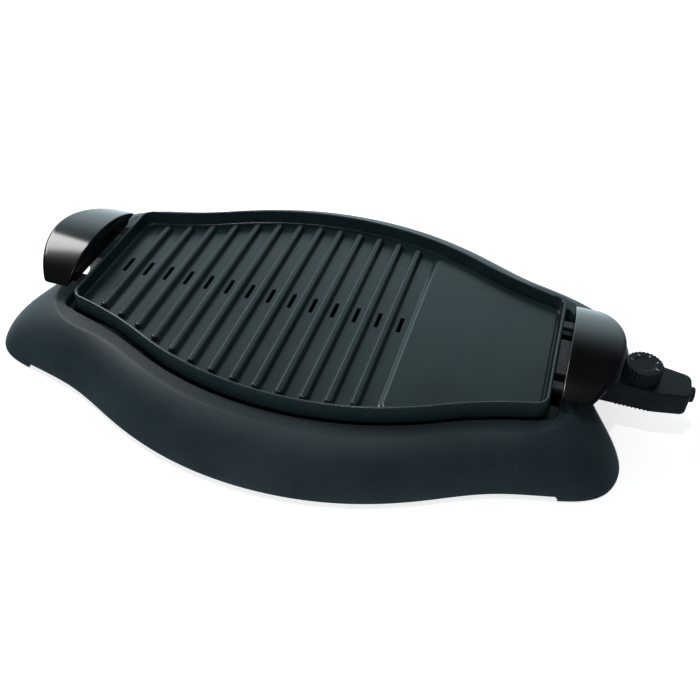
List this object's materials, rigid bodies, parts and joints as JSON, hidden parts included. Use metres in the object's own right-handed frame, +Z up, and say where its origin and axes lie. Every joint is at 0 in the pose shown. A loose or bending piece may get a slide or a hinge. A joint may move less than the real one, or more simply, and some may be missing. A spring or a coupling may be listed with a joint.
{
  "type": "electric griddle",
  "caption": "Low table griddle: leaf-shaped ribbed and flat cooking plate with two arched handles, in a flared base, with a plug-in dial control.",
  "frame": {"origin": "on the table, under the middle of the base", "axes": "+X along the plate towards the temperature control, +Y to the rear, +Z up"},
  "size_m": [0.5928, 0.3732, 0.0701],
  "materials": {
    "base_plastic": "fine textured matt moulding, blue-black",
    "silicone": "heat-proof silicone, matt",
    "tray_aluminium": "thin drawn sheet, satin",
    "nonstick_plate": "satin non-stick coating on cast aluminium, blue-black",
    "element_steel": "tubular sheath, heat tinted",
    "plated_pin": "nickel plated",
    "ceramic": "glazed steatite bush",
    "guard_steel": "folded sheet, dark oxide",
    "screw_steel": "zinc plated",
    "handle_gloss": "glossy black moulding",
    "control_plastic": "semi-gloss black moulding",
    "probe_steel": "drawn stainless tube",
    "brass_contact": "turned brass",
    "spring_brass": "spring strip",
    "gland_rubber": "moulded rubber",
    "knob_plastic": "satin black moulding, fluted",
    "dial_print": "black disc with white numbers",
    "foot_rubber": "matt black rubber"
  },
  "bodies": {
    "base": {"base_housing": "base_plastic", "rubber_foot_front_left": "foot_rubber", "rubber_foot_front_right": "foot_rubber", "rubber_foot_rear_left": "foot_rubber", "rubber_foot_rear_right": "foot_rubber", "plate_rest_pads": "silicone"},
    "tray": {"drip_tray": "tray_aluminium"},
    "plate": {"cooking_plate": "nonstick_plate", "heating_element": "element_steel", "terminal_pins": "plated_pin", "terminal_insulators": "ceramic", "terminal_guard": "guard_steel", "guard_screws": "screw_steel", "left_handle": "handle_gloss", "right_handle": "handle_gloss", "left_handle_screws": "screw_steel", "right_handle_screws": "screw_steel"},
    "control": {"control_lower_housing": "control_plastic", "control_upper_housing": "control_plastic", "control_screws": "screw_steel", "probe_rod": "probe_steel", "probe_collar": "guard_steel", "contact_receptacles": "brass_contact", "thermostat_frame": "guard_steel", "thermostat_blades": "spring_brass", "blade_spacers": "ceramic", "spindle_bushing": "brass_contact", "cord_gland": "gland_rubber"},
    "knob": {"control_knob": "knob_plastic", "dial_disc": "dial_print", "knob_spindle": "probe_steel"}
  },
  "joints": [
    {"name": "tray_lift", "type": "slide", "parent": "base", "child": "tray", "axis": [0, 0, 1], "range_m": [0, 0.06]},
    {"name": "plate_lift", "type": "slide", "parent": "tray", "child": "plate", "axis": [0, 0, 1], "range_m": [0, 0.06]},
    {"name": "control_unplug", "type": "slide", "parent": "plate", "child": "control", "axis": [1, 0, 0], "range_m": [0, 0.1]},
    {"name": "knob_turn", "type": "hinge", "parent": "control", "child": "knob", "pos_m": [0.2755, 0, 0.0436], "axis": [0, 0, 1], "range_deg": [-270, 0]}
  ]
}
